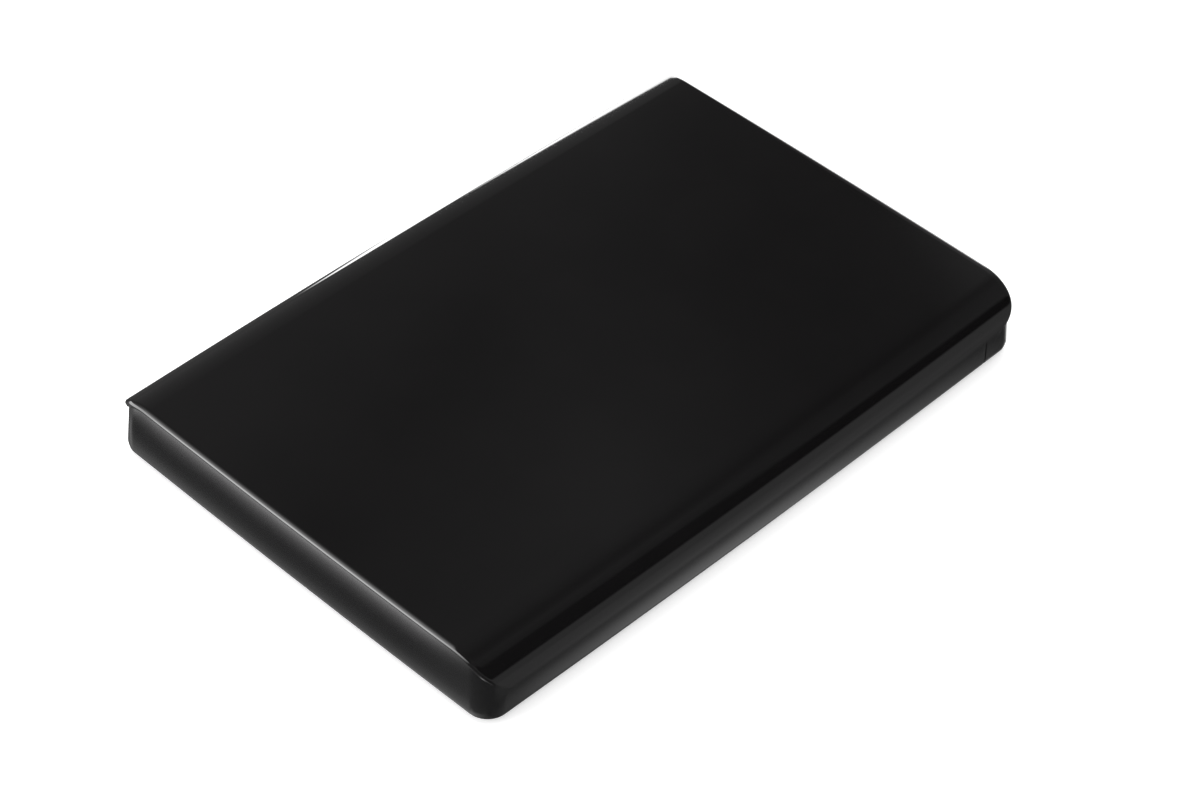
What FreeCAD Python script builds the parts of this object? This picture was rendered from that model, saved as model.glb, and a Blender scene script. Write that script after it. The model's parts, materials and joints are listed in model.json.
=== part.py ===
import FreeCAD, Part
import math
import os

# Portable drive in a moulded case. Millimetres, +Z up, origin on the table under the middle of the
# case. X runs along the case, with the port at the +X end; Y runs across it.

os.makedirs("parts", exist_ok=True)
V = FreeCAD.Vector
UP = V(0, 0, 1)

# Drive, 2.5-inch size
drive_length = 100.2
drive_width = 69.85
drive_height = 6.8
drive_lid = 1.2
drive_wall = 1.0
drive_corner = 2.0
mount_from_plug = 14.0
mount_from_back = 9.6
mount_inset = 4.065
mount_hole = 3.0
mount_hole_depth = 2.4
lid_rim = 0.8
lid_rim_drop = 0.9

# Room round the drive, out to the cover's bowed sides
front_room = 3.45
port_room = 15.25
side_room = 6.375

# Cover
end_bow = 0.3
side_bow = 0.5
cover_wall = 1.1
nose_depth = 8.1
nose_height = 6.35
tuck = 0.3
tuck_height = 0.7
hem_sweep = 10.6
lip_bevel = 0.3

# Tray and end cap
foot_stand = 0.4
side_wall_height = 5.25
base_flare_deg = 3.4
base_end_step = 0.145
base_side_step = 0.17
base_corner = 3.8
bottom_round = 1.6
bottom_steps = 3
base_wall = 1.6
base_floor = 1.6
lip_gap = 0.15
flush_step = 0.1
seam_setback = 8.05
seam_gap = 0.12
tongue_reach = 3.0
tongue_wall = 1.0
fit_clearance = 0.1

# Snap tabs of the cover
tab_width = 8.0
tab_wall = 0.9
tab_hook = 0.45
tab_reach = 2.9
tab_root = 1.9
tab_bury = 0.14
tab_pitch = 36.0
tab_clearance = 0.15

# Rubber feet
foot_diameter = 8.0
foot_recess = 0.5
foot_inset_x = 17.45
foot_inset_y = 11.3

# Seats of the drive
drive_rib = 0.5
rib_wall = 1.2
rib_root = 0.5
bumper_side = 1.6
bumper_end = 1.2
bumper_arm = 9.0
bumper_height = 5.0
rail_height = 4.0
rail_length = 12.0
foam_length = 80.0
foam_width = 10.0
foam_offset = 20.0

# Circuit boards and chips
board_thickness = 1.0
board_height = 3.0
drive_board_length = 62.0
drive_board_margin = 1.925
chip_height = 1.2
controller_size = 14.0
buffer_size = (9.0, 11.0)
flash_size = (14.0, 18.0)
flash_gap = (3.5, 7.2)
pad_margin = 1.0
capacitor_size = (1.0, 0.6, 0.6)
capacitor_gap = 1.5
drive_capacitor_pitch = 2.0
drive_capacitor_count = 5

# Plug and socket between the drive and the bridge board
plug_from_side = 26.925
plug_depth = 6.0
plug_height = 4.0
plug_wall = 0.8
plug_back = 1.0
contact_pitch = 1.27
signal_count = 7
power_count = 15
tongue_thickness = 1.2
tongue_side_margin = 1.4
tongue_spacing = 2.4
key_drop = 0.7
contact_wide = 0.8
contact_thick = 0.12
spring_thick = 0.2
socket_flange = 2.8
mate_gap = 0.2

# Bridge board and its port, with places across it from its middle
bridge_from_plug = 8.0
bridge_depth = 9.8
bridge_width = 48.0
bridge_support = 20.0
bridge_chip_place = (5.0, 6.0)
bridge_chip_size = 6.0
bridge_chip_height = 0.9
crystal_place = (4.0, 19.25)
crystal_size = (2.0, 2.5, 0.7)
crystal_corner = 0.3
inductor_place = (4.5, -18.0)
inductor_size = (4.0, 4.0, 1.8)
inductor_corner = 0.8
bridge_capacitor_places = ((2.0, 13.4), (8.0, -19.6))
bridge_capacitor_pitch = 1.6
bridge_capacitor_count = 4
port_offset = -6.0
port_half_width = 6.1
port_half_height = 1.1
port_length = 6.2
port_recess = 0.2
port_metal = 0.25
port_back = 0.8
port_clearance = 0.15
usb_tongue_thick = 0.5
usb_tongue_setback = 1.0
usb_block = 1.0
usb_contact_count = 5
usb_contact_wide = 0.28
usb_contact_setback = 0.3
led_offset = 14.0
led_size = (0.8, 1.6, 0.8)
guide_radius = 0.8
guide_flange = 1.4
guide_flange_thick = 0.4
guide_clearance = 0.05

# How far a cut runs past the face it opens
cut_past = 1.0

# Heights that follow
base_z = foot_stand
floor_z = base_z + base_floor
parting_z = base_z + side_wall_height
widest_z = parting_z + tuck_height
top_z = widest_z + nose_height
drive_z = floor_z + drive_rib
drive_top_z = drive_z + drive_height
board_z = drive_z + board_height
plug_z = board_z + board_thickness / 2
chips_z = board_z + board_thickness
port_z = chips_z + port_half_height

# Positions that follow
cover_length = front_room + drive_length + port_room
cover_width = drive_width + 2 * side_room
half_length = cover_length / 2
half_width = cover_width / 2
flare = math.tan(math.radians(base_flare_deg))
seam_x = half_length - seam_setback
drive_start = front_room - half_length
drive_end = drive_start + drive_length
drive_side = drive_width / 2
plug_middle = drive_side - plug_from_side
bridge_middle = plug_middle - bridge_from_plug
socket_back = drive_end + mate_gap + socket_flange
bridge_front = socket_back + bridge_depth


def box(x, y, z):
    """A block between two limits on each axis."""
    corner = V(min(x), min(y), min(z))
    return Part.makeBox(abs(x[1] - x[0]), abs(y[1] - y[0]), abs(z[1] - z[0]), corner)


def rounded_box(x, y, z, radius):
    """A block with its upright edges rounded."""
    block = box(x, y, z)
    upright = []
    for edge in block.Edges:
        along = edge.Vertexes[1].Point - edge.Vertexes[0].Point
        if abs(along.z) > abs(along.x) + abs(along.y):
            upright.append(edge)
    return block.makeFillet(radius, upright)


def rod(radius, start, end):
    """A round bar between two points."""
    along = end - start
    return Part.makeCylinder(radius, along.Length, start, along)


def prism(points, along):
    """A closed outline of points, pushed along a vector."""
    return Part.Face(Part.makePolygon(points + [points[0]])).extrude(along)


def fuse(first, others):
    """One solid from overlapping pieces."""
    return first.multiFuse(others).removeSplitter()


def save(name, shape):
    """One node of the assembly; a list becomes a group of separate solids."""
    if isinstance(shape, list):
        shape = Part.makeCompound(shape)
    shape.exportStep("parts/" + name + ".step")


def corner_points(length, width, corner):
    """Tangent points and middle of a rounded corner between a bowed side and a bowed end."""
    side = (length**2 + side_bow**2) / (2 * side_bow)
    end = (width**2 + end_bow**2) / (2 * end_bow)
    c_side = V(0, width - side, 0)
    c_end = V(length - end, 0, 0)
    r_side = side - corner
    r_end = end - corner
    span = c_end - c_side
    along = (r_side**2 - r_end**2 + span.Length**2) / (2 * span.Length)
    off = math.sqrt(r_side**2 - along**2)
    unit = V(span).normalize()
    centre = c_side + unit * along + V(unit.y, -unit.x, 0) * off
    to_side = (centre - c_side).normalize()
    to_end = (centre - c_end).normalize()
    middle = (to_side + to_end).normalize()
    return centre + to_end * corner, centre + middle * corner, centre + to_side * corner


def bow_curve(start, middle, end):
    """A shallow curve from start to end through the middle."""
    curve = Part.BezierCurve()
    curve.setPoles([start, middle * 2 - (start + end) * 0.5, end])
    return curve.toShape()


def plan_wire(length, width, corner, z):
    """Plan outline at a height: bowed sides and ends with rounded corners."""
    on_end, middle, on_side = corner_points(length, width, corner)

    def at(point, sx, sy):
        return V(sx * point.x, sy * point.y, z)

    side = V(0, width, 0)
    end = V(length, 0, 0)
    edges = []
    for s in (1, -1):
        edges.append(Part.Arc(at(on_end, s, s), at(middle, s, s), at(on_side, s, s)).toShape())
        edges.append(bow_curve(at(on_side, s, s), at(side, s, s), at(on_side, -s, s)))
        edges.append(Part.Arc(at(on_side, -s, s), at(middle, -s, s), at(on_end, -s, s)).toShape())
        edges.append(bow_curve(at(on_end, -s, s), at(end, -s, s), at(on_end, -s, -s)))
    return Part.Wire(edges)


def side_shift(x):
    """How far the bowed side has come in at a place along it."""
    return side_bow * (x / half_length) ** 2


def tangent_arc(start, along, end):
    """An arc in a YZ plane that leaves the start in a given direction."""
    chord = end - start
    inward = V(0, -along.z, along.y)
    centre = start + inward * (chord.dot(chord) / (2 * inward.dot(chord)))
    middle = (start + end) * 0.5 - centre
    return Part.Arc(start, centre + middle.normalize() * (start - centre).Length, end).toShape()


def rolled_edge(widest, crest):
    """Two arcs, tangent to each other, from the upright side over to the flat top."""
    across = crest.y - widest.y
    up = crest.z - widest.z
    inset = (across + up - math.hypot(across, up)) / 2
    joint = V(0, widest.y + inset, crest.z - inset)
    return [tangent_arc(widest, V(0, 0, 1), joint), tangent_arc(crest, V(0, -1, 0), joint)]


def rolled_side(inset, low_z):
    """Everything inside the cover's -Y side: hem, rolled edge and top, turned along the bow."""
    outer_y = inset - half_width
    widest = V(0, outer_y, widest_z)
    crest = V(0, nose_depth - half_width, top_z - inset)
    hem = V(0, outer_y + tuck, parting_z)
    path = [crest, V(0, cover_width, crest.z), V(0, cover_width, low_z), V(0, hem.y, low_z), hem, widest]
    lines = [Part.makeLine(a, b) for a, b in zip(path, path[1:])]
    section = Part.Face(Part.Wire(Part.__sortEdges__(lines + rolled_edge(widest, crest))))
    bow_radius = (half_length**2 + side_bow**2) / (2 * side_bow)
    pivot = V(0, bow_radius - half_width, 0)
    turn = math.degrees(math.asin(cover_length * 0.6 / bow_radius))
    return section.rotated(pivot, UP, -turn).revolve(pivot, UP, 2 * turn)


def tunnel(inset, low_z):
    """Both rolled sides and the flat top between them, open at the ends."""
    side = rolled_side(inset, low_z)
    return side.common(side.mirror(V(0, 0, 0), V(0, 1, 0)))


def hem_section(y, grow):
    """Side outline of the cover: the ends sweep down into the hem along the long sides."""
    end = half_length + grow - end_bow * (y / half_width) ** 2
    high = top_z + cover_wall
    sweep = Part.BezierCurve()
    sweep.setPoles([V(end, y, high), V(end, y, parting_z), V(end - hem_sweep, y, parting_z)])
    bevel_share = (top_z - lip_bevel - parting_z) / (high - parting_z)
    sweep.segment(1 - math.sqrt(bevel_share), 1)
    crest = sweep.StartPoint + V(-cover_wall, 0, cover_wall)
    near = [sweep.toShape(), Part.makeLine(sweep.StartPoint, crest)]
    far = [edge.mirror(V(0, 0, 0), V(1, 0, 0)) for edge in near]
    top = Part.makeLine(V(-crest.x, y, crest.z), crest)
    bottom = Part.makeLine(V(hem_sweep - end, y, parting_z), V(end - hem_sweep, y, parting_z))
    return Part.Wire(Part.__sortEdges__(near + [top] + far + [bottom]))


def hem_trim(grow):
    """The side outline carried across the case, following the bowed ends."""
    reach = cover_width * 0.6
    return Part.makeLoft([hem_section(y, grow) for y in (-reach, 0, reach)], True)


def snap_tab(x):
    """A tab inside the -Y side of the cover, with its hook facing the tray's wall."""
    wall = base_side_step + flare * side_wall_height + base_wall
    inner = side_shift(abs(x) + tab_width / 2) - half_width + wall + tab_clearance
    root = inner - wall + cover_wall - tab_bury
    back = inner + tab_wall
    section = [
        (root, tab_root + tab_wall * 2),
        (back, tab_root + tab_wall * 2),
        (back, -tab_reach),
        (inner + tab_wall / 2, -tab_reach),
        (inner - tab_hook, -tab_reach + tab_wall),
        (inner - tab_hook, -tab_reach + tab_wall + tab_hook),
        (inner, -tab_reach + tab_wall + 2 * tab_hook),
        (inner, tab_root),
        (root, tab_root),
    ]
    points = [V(x - tab_width / 2, y, parting_z + z) for y, z in section]
    return prism(points, V(tab_width, 0, 0))


def snap_pocket(x):
    """The hollow in the tray's -Y wall that takes a tab's hook."""
    wall = base_side_step + flare * side_wall_height + base_wall
    inner = side_shift(abs(x) + tab_width / 2) - half_width + wall + tab_clearance
    low = parting_z - tab_reach + tab_wall / 2 - fit_clearance
    high = parting_z - tab_reach + tab_wall + 2 * tab_hook + fit_clearance
    reach = (inner - tab_hook - fit_clearance, inner + tab_wall)
    half = tab_width / 2 + fit_clearance
    return box((x - half, x + half), reach, (low, high))


def both_sides(make):
    """A feature at each tab's place, on both long sides."""
    near = [make(x) for x in (-tab_pitch, 0.0, tab_pitch)]
    return near + [shape.mirror(V(0, 0, 0), V(0, 1, 0)) for shape in near]


def top_cover():
    """Glossy cover: rolled long sides whose hems sweep up at the ends; open underneath."""
    skin = tunnel(0, parting_z - cover_wall)
    trim = hem_trim(0)
    cover = skin.common(trim).cut(tunnel(cover_wall, parting_z - cover_wall))
    return fuse(cover, both_sides(snap_tab))


def base_outline(inset, z):
    """Plan outline of the flared tray at a height, set in from its outer face."""
    taper = inset + flare * (z - base_z)
    length = half_length + base_end_step - taper
    return plan_wire(length, half_width - base_side_step - taper, base_corner - inset, z)


def base_loft(inset, low_z, high_z):
    """The tray's flared form, set in by a wall, between two heights."""
    return Part.makeLoft([base_outline(inset, z) for z in (low_z, high_z)], True, True)


def bottom_loft():
    """The tray's rounded bottom edge, from the flat underside up to the flared wall."""
    lean = math.radians(base_flare_deg)
    middle = bottom_round * (flare * (1 + math.sin(lean)) + math.cos(lean))
    wires = []
    for step in range(bottom_steps + 1):
        turn = lean - (1 - step / bottom_steps) * (lean + math.pi / 2)
        rise = bottom_round * (1 + math.sin(turn))
        inset = middle - bottom_round * math.cos(turn) - flare * rise
        wires.append(base_outline(inset, base_z + rise))
    wall_z = base_z + bottom_round * (1 + math.sin(lean))
    return fuse(Part.makeLoft(wires, True, True), [base_loft(0, wall_z, top_z)])


def lower_shell():
    """Tray and end cap in one: floor, low side walls, end walls that rise under the cover's lip."""
    solid = bottom_loft()
    reach = cover_length
    above = box((-reach, reach), (-reach, reach), (parting_z, top_z + cover_wall))
    solid = solid.cut(above.cut(tunnel(flush_step, floor_z)))
    under = tunnel(cover_wall + lip_gap, floor_z)
    solid = solid.cut(hem_trim(lip_gap).cut(under))
    solid = solid.cut(base_loft(base_wall, floor_z, top_z + cover_wall))
    middle = half_length - base_corner
    rest = box((-middle, middle), (-reach, reach), (parting_z, top_z + cover_wall))
    return solid.cut(rest.common(under))


def foot_places():
    x = half_length - foot_inset_x
    y = half_width - foot_inset_y
    return [(sx * x, sy * y) for sx in (-1, 1) for sy in (-1, 1)]


def foot_recesses(clearance):
    radius = foot_diameter / 2 + clearance
    top = base_z + foot_recess
    return [rod(radius, V(x, y, base_z - cut_past), V(x, y, top)) for x, y in foot_places()]


def drive_ribs():
    """Low ribs on the tray's floor that carry the drive."""
    ribs = []
    for y in (-foam_offset, 0.0, foam_offset):
        x = (drive_start + bumper_arm, drive_end - bumper_arm)
        ribs.append(box(x, (y - rib_wall / 2, y + rib_wall / 2), (floor_z - rib_root, drive_z)))
    return ribs


def bumper_rails():
    """Upright rails beside the four rubber corners, with stops behind the two at the board's end."""
    rails = []
    z = (floor_z - rib_root, floor_z + rail_height)
    inner = drive_side + bumper_side
    stop = drive_end + bumper_end
    for sy in (-1, 1):
        y = (sy * inner, sy * (inner + rib_wall))
        rails.append(box((drive_start, drive_start + rail_length), y, z))
        rails.append(box((stop - rail_length, stop + rib_wall), y, z))
        across = (sy * (inner - bumper_arm), sy * (inner + rib_wall))
        rails.append(box((stop, stop + rib_wall), across, z))
    return rails


def bridge_posts():
    """Two short walls of the tray under the bridge board's inner edge."""
    posts = []
    x = (socket_back + fit_clearance, socket_back + fit_clearance + tab_wall)
    for sy in (-1, 1):
        middle = bridge_middle + sy * bridge_support
        posts.append(box(x, (middle - rib_wall * 2, middle + rib_wall * 2), (floor_z - rib_root, board_z)))
    return posts


def base_tray(shell):
    """Satin tray up to the joint with the end cap."""
    reach = cover_length
    keep = box((-reach, seam_x - seam_gap / 2), (-reach, reach), (0, top_z))
    tray = fuse(shell.common(keep), drive_ribs() + bumper_rails() + bridge_posts())
    return tray.cut(Part.makeCompound(both_sides(snap_pocket) + foot_recesses(fit_clearance)))


def joint_tongue():
    """Inner rim of the end cap that slides into the tray."""
    low = floor_z + fit_clearance
    outer = base_loft(base_wall + fit_clearance, low, top_z)
    inner = base_loft(base_wall + fit_clearance + tongue_wall, low + tongue_wall, top_z + cut_past)
    reach = cover_width
    x = (seam_x - tongue_reach, seam_x + tongue_wall)
    return outer.cut(inner).common(box(x, (-reach, reach), (0, parting_z - tongue_wall)))


def port_wire(x, grow):
    """Outline of the port: a wide and a narrow bay side by side, with a ridge between them."""
    w = port_half_width
    h = port_half_height
    section = [
        (-w, h),
        (w, h),
        (w, -0.1 * h),
        (0.88 * w, -h),
        (0.38 * w, -h),
        (0.28 * w, -0.4 * h),
        (0.15 * w, -0.4 * h),
        (0.05 * w, -h),
        (-0.88 * w, -h),
        (-w, -0.1 * h),
    ]
    points = [V(x, bridge_middle + port_offset + y, port_z + z) for y, z in section]
    wire = Part.makePolygon(points + [points[0]])
    if grow:
        wire = wire.makeOffset2D(grow, 2)
    return wire


def port_block(x0, x1, grow):
    return Part.Face(port_wire(x0, grow)).extrude(V(x1 - x0, 0, 0))


def guide_axis(x):
    return V(x, bridge_middle + led_offset, chips_z + guide_radius / 2)


def end_face(z):
    """Outer face of the end wall at a height, on the middle line."""
    return half_length + base_end_step - flare * (z - base_z)


def rear_end_cap(shell):
    """Satin end piece with the port's opening, the light's hole and ledges for the board."""
    reach = cover_length
    keep = box((seam_x + seam_gap / 2, reach), (-reach, reach), (0, top_z))
    ledges = []
    x = (seam_x + tongue_wall / 2, end_face(board_z) - base_wall / 2)
    for sy in (-1, 1):
        middle = bridge_middle + sy * bridge_support
        ledges.append(box(x, (middle - rib_wall / 2, middle + rib_wall / 2), (floor_z - rib_root, board_z)))
    cap = fuse(shell.common(keep), ledges + [joint_tongue()])
    hole = rod(guide_radius + guide_clearance, guide_axis(seam_x), guide_axis(reach))
    return cap.cut(Part.makeCompound([port_block(seam_x, reach, port_clearance), hole]))


def feet():
    """Rubber discs that stand out of their recesses."""
    top = base_z + foot_recess
    return [rod(foot_diameter / 2, V(x, y, 0), V(x, y, top)) for x, y in foot_places()]


def light_guide():
    """Clear rod with a square flange behind the end wall."""
    start = guide_axis(bridge_front + guide_clearance)
    shaft = rod(guide_radius, start, guide_axis(end_face(chips_z)))
    across = (start.y - guide_flange, start.y + guide_flange)
    upright = (start.z - guide_flange, start.z + guide_flange)
    return fuse(shaft, [box((start.x, start.x + guide_flange_thick), across, upright)])


def bumpers():
    """Rubber corner pieces: an arm along the side and an arm across the end of the drive."""
    made = []
    z = (floor_z, floor_z + bumper_height)
    for end_x, out in ((drive_start, -1), (drive_end, 1)):
        for sy in (-1, 1):
            side = (sy * drive_side, sy * (drive_side + bumper_side))
            arm = box((end_x - out * bumper_arm, end_x + out * bumper_end), side, z)
            across = (sy * (drive_side - bumper_arm + rib_wall), sy * (drive_side + bumper_side))
            cross = box((end_x, end_x + out * bumper_end), across, z)
            made.append(fuse(arm, [cross]))
    return made


def foam_strips():
    made = []
    middle = (drive_start + drive_end) / 2
    x = (middle - foam_length / 2, middle + foam_length / 2)
    for sy in (-1, 1):
        y = (sy * foam_offset - foam_width / 2, sy * foam_offset + foam_width / 2)
        made.append(box(x, y, (drive_top_z, top_z - cover_wall)))
    return made


def mount_places():
    """The drive's four mounting holes."""
    y = drive_side - mount_inset
    ends = (drive_end - mount_from_plug, drive_start + mount_from_back)
    return [(x, sy * y) for x in ends for sy in (-1, 1)]


def plug_span(margin):
    """Limits across the plug, wider than its two tongues by a margin."""
    total = (signal_count + power_count) * contact_pitch + 2 * tongue_side_margin + tongue_spacing
    return (plug_middle - total / 2 - margin, plug_middle + total / 2 + margin)


def drive_block(low_z, high_z):
    """A slice of the drive's outer form."""
    return rounded_box((drive_start, drive_end), (-drive_side, drive_side), (low_z, high_z), drive_corner)


def drive_inside(inset, low_z, high_z):
    """A slice of the drive's hollow, set in from its walls."""
    x = (drive_start + drive_wall + inset, drive_end - drive_wall - inset)
    y = (drive_wall + inset - drive_side, drive_side - drive_wall - inset)
    return box(x, y, (low_z, high_z))


def board_rests():
    """Ribs across the drive's floor under the board's inner edge."""
    back = drive_end - plug_depth - drive_board_length + 2 * drive_corner
    x = (back - rib_wall / 2, back + rib_wall / 2)
    half = foam_width / 2
    return [box(x, (y - half, y + half), (drive_z, board_z)) for y in (-foam_offset, foam_offset)]


def plug_opening():
    """The way through the drive's end wall for its plug."""
    z = (plug_z - plug_height / 2, drive_top_z - drive_lid + cut_past)
    return box((drive_end - plug_depth, drive_end + cut_past), plug_span(plug_wall), z)


def drive_bottom_shell():
    """Lower half of the drive's case, with mounting bosses and board rests."""
    seam = drive_top_z - drive_lid
    raised = board_rests()
    cuts = [plug_opening()]
    for px, py in mount_places():
        across = (py - mount_hole, py + mount_hole)
        raised.append(box((px - mount_hole, px + mount_hole), across, (drive_z, board_z)))
        end = V(px, py, drive_z + mount_hole_depth)
        cuts.append(rod(mount_hole / 2, V(px, py, drive_z - cut_past), end))
    walls = drive_block(drive_z, seam).cut(drive_inside(0, drive_z + drive_wall, seam + cut_past))
    return fuse(walls, raised).cut(Part.makeCompound(cuts))


def drive_top_shell():
    """Flat lid of the drive, with a rim that snaps inside the lower half's walls."""
    seam = drive_top_z - drive_lid
    low = seam - lid_rim_drop
    rim = drive_inside(fit_clearance, low, seam + drive_lid / 2)
    rim = rim.cut(drive_inside(fit_clearance + lid_rim, low - cut_past, seam + drive_lid))
    return fuse(drive_block(seam, drive_top_z), [rim.cut(plug_opening())])


def drive_board():
    """Circuit board behind the plug, over the mounting bosses."""
    front = drive_end - plug_depth
    half = drive_side - drive_board_margin
    return box((front - drive_board_length, front), (-half, half), (board_z, chips_z))


def chip(x, y, size_x, size_y, height):
    """A chip on a board: block with a chamfered first corner."""
    across = (y - size_y / 2, y + size_y / 2)
    block = box((x - size_x / 2, x + size_x / 2), across, (chips_z, chips_z + height))
    mark = []
    for edge in block.Edges:
        upright = edge.BoundBox.ZMax - edge.BoundBox.ZMin > height / 2
        if upright and edge.CenterOfMass.x < x and edge.CenterOfMass.y < y:
            mark.append(edge)
    return block.makeChamfer(min(size_x, size_y) / 8, mark)


def controller_place():
    return (drive_end - plug_depth - controller_size, -foam_offset)


def controller_chip():
    x, y = controller_place()
    return chip(x, y, controller_size, controller_size, chip_height)


def thermal_pad():
    x, y = controller_place()
    half = controller_size / 2 - pad_margin
    return box((x - half, x + half), (y - half, y + half), (chips_z + chip_height, drive_top_z - drive_lid))


def buffer_chip():
    x, y = controller_place()
    return chip(x, y + controller_size + buffer_size[1] / 2, buffer_size[0], buffer_size[1], chip_height)


def flash_chips():
    made = []
    first = drive_end - plug_depth - 2 * controller_size - flash_size[0] / 2
    y = (flash_size[1] + flash_gap[1]) / 2
    for x in (first, first - flash_size[0] - flash_gap[0]):
        for sy in (-1, 1):
            made.append(chip(x, sy * y, flash_size[0], flash_size[1], chip_height))
    return made


def capacitor_row(x, middle_y, pitch, count):
    """A row of small block capacitors on a board."""
    a, b, h = capacitor_size
    made = []
    for i in range(count):
        y = middle_y + (i - (count - 1) / 2) * pitch
        made.append(box((x - a / 2, x + a / 2), (y - b / 2, y + b / 2), (chips_z, chips_z + h)))
    return made


def drive_capacitors():
    """A row on each side of the controller."""
    x, y = controller_place()
    away = (controller_size + capacitor_size[0]) / 2 + capacitor_gap
    rows = []
    for side in (away, -away):
        rows += capacitor_row(x + side, y, drive_capacitor_pitch, drive_capacitor_count)
    return rows


def tongue_limits():
    """Across limits of the signal tongue and the power tongue."""
    low, high = plug_span(0)
    signal = signal_count * contact_pitch + tongue_side_margin
    power = power_count * contact_pitch + tongue_side_margin
    return ((low, low + signal), (high - power, high))


def tongue_block(limits, grow, x):
    """An L-shaped tongue: a flat blade with a key at its outer edge."""
    half = tongue_thickness / 2 + grow
    blade = box(x, (limits[0] - grow, limits[1] + grow), (plug_z - half, plug_z + half))
    drop = plug_z - tongue_thickness / 2 - key_drop
    key = box(x, (limits[0] - grow, limits[0] + key_drop + grow), (drop - grow, plug_z))
    return fuse(blade, [key])


def drive_plug():
    """The drive's plug: a box open at the end face, with two keyed tongues in it."""
    span = plug_span(plug_wall)
    z = (plug_z - plug_height / 2, plug_z + plug_height / 2)
    body = box((drive_end - plug_depth, drive_end), span, z)
    inner = (span[0] + plug_wall / 2, span[1] - plug_wall / 2)
    bore = (z[0] + plug_wall / 2, z[1] - plug_wall / 2)
    body = body.cut(box((drive_end - plug_depth + plug_back, drive_end + cut_past), inner, bore))
    x = (drive_end - plug_depth + plug_back / 2, drive_end - mate_gap)
    return fuse(body, [tongue_block(limits, 0, x) for limits in tongue_limits()])


def contact_places():
    """Across positions of the contacts on both tongues."""
    places = []
    for (low, high), count in zip(tongue_limits(), (signal_count, power_count)):
        first = (low + high - (count - 1) * contact_pitch) / 2
        places += [first + i * contact_pitch for i in range(count)]
    return places


def contact_strips(x, wide, low, high):
    return [box(x, (y - wide / 2, y + wide / 2), (low, high)) for y in contact_places()]


def drive_plug_contacts():
    top = plug_z + tongue_thickness / 2
    x = (drive_end - plug_depth + plug_back, drive_end - 2 * mate_gap)
    return contact_strips(x, contact_wide, top, top + contact_thick)


def bridge_socket():
    """Socket on the bridge board: its nose fills the plug and takes the two tongues."""
    span = plug_span(plug_wall / 2 - fit_clearance)
    half = plug_height / 2 - plug_wall / 2 - fit_clearance
    nose_start = drive_end - plug_depth + plug_back + mate_gap
    nose = box((nose_start, socket_back), span, (plug_z - half, plug_z + half))
    flange_z = (plug_z - plug_height / 2, plug_z + plug_height / 2)
    flange = box((drive_end + mate_gap, socket_back), plug_span(plug_wall), flange_z)
    socket = fuse(nose, [flange])
    x = (nose_start - cut_past, drive_end)
    spring_z = (plug_z, plug_z + tongue_thickness / 2 + contact_thick + spring_thick)
    for low, high in tongue_limits():
        tongue = tongue_block((low, high), fit_clearance, x)
        springs = box(x, (low - fit_clearance, high + fit_clearance), spring_z)
        socket = socket.cut(fuse(tongue, [springs]))
    return socket


def bridge_socket_contacts():
    low = plug_z + tongue_thickness / 2 + contact_thick
    x = (drive_end - plug_depth + plug_back + mate_gap, drive_end - 2 * mate_gap)
    return contact_strips(x, contact_wide, low, low + spring_thick)


def bridge_board():
    half = bridge_width / 2
    y = (bridge_middle - half, bridge_middle + half)
    return box((socket_back, bridge_front), y, (board_z, chips_z))


def bridge_chip():
    x, y = bridge_chip_place
    y += bridge_middle
    return chip(socket_back + x, y, bridge_chip_size, bridge_chip_size, bridge_chip_height)


def bridge_can(place, size, corner):
    """A can with rounded corners on the bridge board."""
    x = socket_back + place[0]
    y = bridge_middle + place[1]
    a, b, h = size
    z = (chips_z, chips_z + h)
    return rounded_box((x - a / 2, x + a / 2), (y - b / 2, y + b / 2), z, corner)


def clock_crystal():
    return bridge_can(crystal_place, crystal_size, crystal_corner)


def power_inductor():
    return bridge_can(inductor_place, inductor_size, inductor_corner)


def bridge_capacitors():
    rows = []
    for x, y in bridge_capacitor_places:
        middle = bridge_middle + y
        rows += capacitor_row(socket_back + x, middle, bridge_capacitor_pitch, bridge_capacitor_count)
    return rows


def port_front():
    return end_face(port_z) - port_recess


def usb_shell():
    """Folded metal shell of the port, open at the front."""
    front = port_front()
    outer = port_block(front - port_length, front, 0)
    return outer.cut(port_block(front - port_length + port_back, front + cut_past, -port_metal))


def usb_bays():
    """Across limits of the two tongues in the port."""
    shares = ((-0.8, -0.14), (0.45, 0.86))
    middle = bridge_middle + port_offset
    return [tuple(middle + share * port_half_width for share in pair) for pair in shares]


def usb_tongues():
    """Insulator at the back of the port, with one tongue in each bay."""
    back = port_front() - port_length + port_back
    z = (port_z, port_z + usb_tongue_thick)
    wide, narrow = usb_bays()
    block = box((back, back + usb_block), (wide[0], narrow[1]), z)
    x = (back, port_front() - usb_tongue_setback)
    return fuse(block, [box(x, wide, z), box(x, narrow, z)])


def usb_contacts():
    """A row of strips under each tongue."""
    back = port_front() - port_length + port_back
    x = (back, port_front() - usb_tongue_setback - usb_contact_setback)
    z = (port_z - contact_thick, port_z)
    half = usb_contact_wide / 2
    made = []
    for low, high in usb_bays():
        step = (high - low) / usb_contact_count
        for i in range(usb_contact_count):
            y = low + (i + 0.5) * step
            made.append(box(x, (y - half, y + half), z))
    return made


def activity_led():
    a, b, h = led_size
    middle = bridge_middle + led_offset
    y = (middle - b / 2, middle + b / 2)
    return box((bridge_front - a, bridge_front), y, (chips_z, chips_z + h))


def save_numbered(name, shapes):
    for i, shape in enumerate(shapes):
        save(name + "_" + str(i + 1), shape)


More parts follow.
